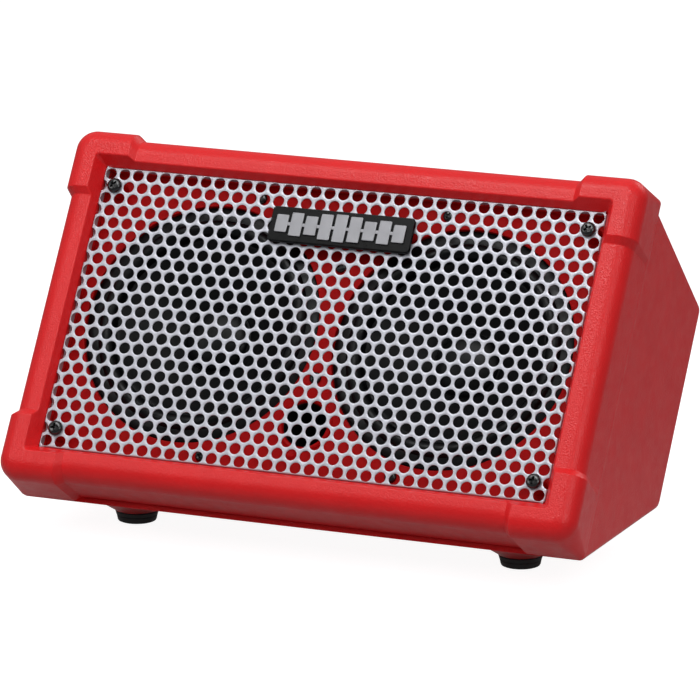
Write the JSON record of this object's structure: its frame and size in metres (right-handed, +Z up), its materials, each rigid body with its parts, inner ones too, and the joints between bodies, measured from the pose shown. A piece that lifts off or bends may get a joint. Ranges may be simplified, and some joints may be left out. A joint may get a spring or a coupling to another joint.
{
  "type": "guitar amplifier",
  "caption": "Portable stereo guitar amplifier: a moulded wedge cabinet leans back on rubber feet, with loudspeakers behind a perforated grille and controls on its rear slope.",
  "frame": {"origin": "on the floor under the middle of the object", "axes": "+Z up, +X to the right of a person facing the grille, the grille faces -Y"},
  "size_m": [0.3986, 0.2408, 0.2446],
  "materials": {
    "red_plastic": "fine pebble grain, satin",
    "grille_steel": "silver-grey coated sheet",
    "badge_black": "gloss black",
    "badge_silver": "satin silver",
    "black_screw": "black zinc",
    "rubber": "matte",
    "cone_paper": "pulped black paper",
    "basket_steel": "black coated steel",
    "ferrite": "grey ceramic",
    "black_plastic": "fine matte",
    "knob_plastic": "satin black",
    "circuit_green": "solder mask",
    "socket_metal": "bright nickel",
    "lamp_red": "clear red lens",
    "cell_sleeve": "printed metal sleeve"
  },
  "bodies": {
    "cabinet": {"front_frame": "red_plastic", "baffle": "red_plastic", "grille": "grille_steel", "badge_plate": "badge_black", "badge_motif": "badge_silver", "rear_case": "red_plastic", "bass_port": "black_plastic", "amplifier_board": "circuit_green", "grille_screw_1": "black_screw", "grille_screw_2": "black_screw", "grille_screw_3": "black_screw", "grille_screw_4": "black_screw", "speaker_basket_left": "basket_steel", "speaker_basket_right": "basket_steel", "speaker_magnet_left": "ferrite", "speaker_magnet_right": "ferrite", "speaker_surround_left": "rubber", "speaker_surround_right": "rubber", "battery_tray": "black_plastic", "battery_cells_left": "cell_sleeve", "battery_cells_right": "cell_sleeve", "jack_plate": "black_plastic", "phones_jack": "socket_metal", "footswitch_jack": "socket_metal", "power_jack": "black_plastic", "control_panel": "black_plastic", "control_board": "circuit_green", "microphone_jack": "black_plastic", "guitar_jack": "black_plastic", "power_lamp": "lamp_red", "foot_1": "rubber", "foot_2": "rubber", "foot_3": "rubber", "foot_4": "rubber", "potentiometer_1": "basket_steel", "potentiometer_2": "basket_steel", "potentiometer_3": "basket_steel", "potentiometer_4": "basket_steel", "potentiometer_5": "basket_steel", "potentiometer_6": "basket_steel", "potentiometer_7": "basket_steel", "potentiometer_8": "basket_steel"},
    "cone_left": {"speaker_cone_left": "cone_paper", "dust_cap_left": "cone_paper"},
    "cone_right": {"speaker_cone_right": "cone_paper", "dust_cap_right": "cone_paper"},
    "battery_door": {"battery_door": "red_plastic"},
    "power_switch": {"power_switch": "black_plastic"},
    "knob_1": {"knob_1": "knob_plastic"},
    "knob_2": {"knob_2": "knob_plastic"},
    "knob_3": {"knob_3": "knob_plastic"},
    "knob_4": {"knob_4": "knob_plastic"},
    "knob_5": {"knob_5": "knob_plastic"},
    "knob_6": {"knob_6": "knob_plastic"},
    "knob_7": {"knob_7": "knob_plastic"},
    "knob_8": {"knob_8": "knob_plastic"},
    "push_button_1": {"push_button_1": "black_plastic"},
    "push_button_2": {"push_button_2": "black_plastic"},
    "push_button_3": {"push_button_3": "black_plastic"}
  },
  "joints": [
    {"name": "cone_left_travel", "type": "slide", "parent": "cabinet", "child": "cone_left", "axis": [0, -0.8406, 0.5417], "range_m": [-0.0025, 0.0025], "stiffness_N_per_m": 1500},
    {"name": "cone_right_travel", "type": "slide", "parent": "cabinet", "child": "cone_right", "axis": [0, -0.8406, 0.5417], "range_m": [-0.0025, 0.0025], "stiffness_N_per_m": 1500},
    {"name": "battery_door_swing", "type": "hinge", "parent": "cabinet", "child": "battery_door", "pos_m": [0, 0.0549, 0.03321], "axis": [-1, 0, 0], "range_deg": [0, 75]},
    {"name": "power_switch_rock", "type": "hinge", "parent": "cabinet", "child": "power_switch", "pos_m": [0.112, 0.09242, 0.16106], "axis": [0, 0.7139, -0.7003], "range_deg": [0, 16]},
    {"name": "knob_1_turn", "type": "hinge", "parent": "cabinet", "child": "knob_1", "pos_m": [-0.112, 0.07237, 0.18632], "axis": [0, 0.7003, 0.7139], "range_deg": [-150, 150]},
    {"name": "knob_2_turn", "type": "hinge", "parent": "cabinet", "child": "knob_2", "pos_m": [-0.08, 0.07237, 0.18632], "axis": [0, 0.7003, 0.7139], "range_deg": [-150, 150]},
    {"name": "knob_3_turn", "type": "hinge", "parent": "cabinet", "child": "knob_3", "pos_m": [-0.048, 0.07237, 0.18632], "axis": [0, 0.7003, 0.7139], "range_deg": [-150, 150]},
    {"name": "knob_4_turn", "type": "hinge", "parent": "cabinet", "child": "knob_4", "pos_m": [-0.016, 0.07237, 0.18632], "axis": [0, 0.7003, 0.7139], "range_deg": [-150, 150]},
    {"name": "knob_5_turn", "type": "hinge", "parent": "cabinet", "child": "knob_5", "pos_m": [0.016, 0.07237, 0.18632], "axis": [0, 0.7003, 0.7139], "range_deg": [-150, 150]},
    {"name": "knob_6_turn", "type": "hinge", "parent": "cabinet", "child": "knob_6", "pos_m": [0.048, 0.07237, 0.18632], "axis": [0, 0.7003, 0.7139], "range_deg": [-150, 150]},
    {"name": "knob_7_turn", "type": "hinge", "parent": "cabinet", "child": "knob_7", "pos_m": [0.08, 0.07237, 0.18632], "axis": [0, 0.7003, 0.7139], "range_deg": [-150, 150]},
    {"name": "knob_8_turn", "type": "hinge", "parent": "cabinet", "child": "knob_8", "pos_m": [0.112, 0.07237, 0.18632], "axis": [0, 0.7003, 0.7139], "range_deg": [-150, 150]},
    {"name": "push_button_1_press", "type": "slide", "parent": "cabinet", "child": "push_button_1", "axis": [0, -0.7003, -0.7139], "range_m": [0, 0.0015], "stiffness_N_per_m": 400},
    {"name": "push_button_2_press", "type": "slide", "parent": "cabinet", "child": "push_button_2", "axis": [0, -0.7003, -0.7139], "range_m": [0, 0.0015], "stiffness_N_per_m": 400},
    {"name": "push_button_3_press", "type": "slide", "parent": "cabinet", "child": "push_button_3", "axis": [0, -0.7003, -0.7139], "range_m": [0, 0.0015], "stiffness_N_per_m": 400}
  ]
}
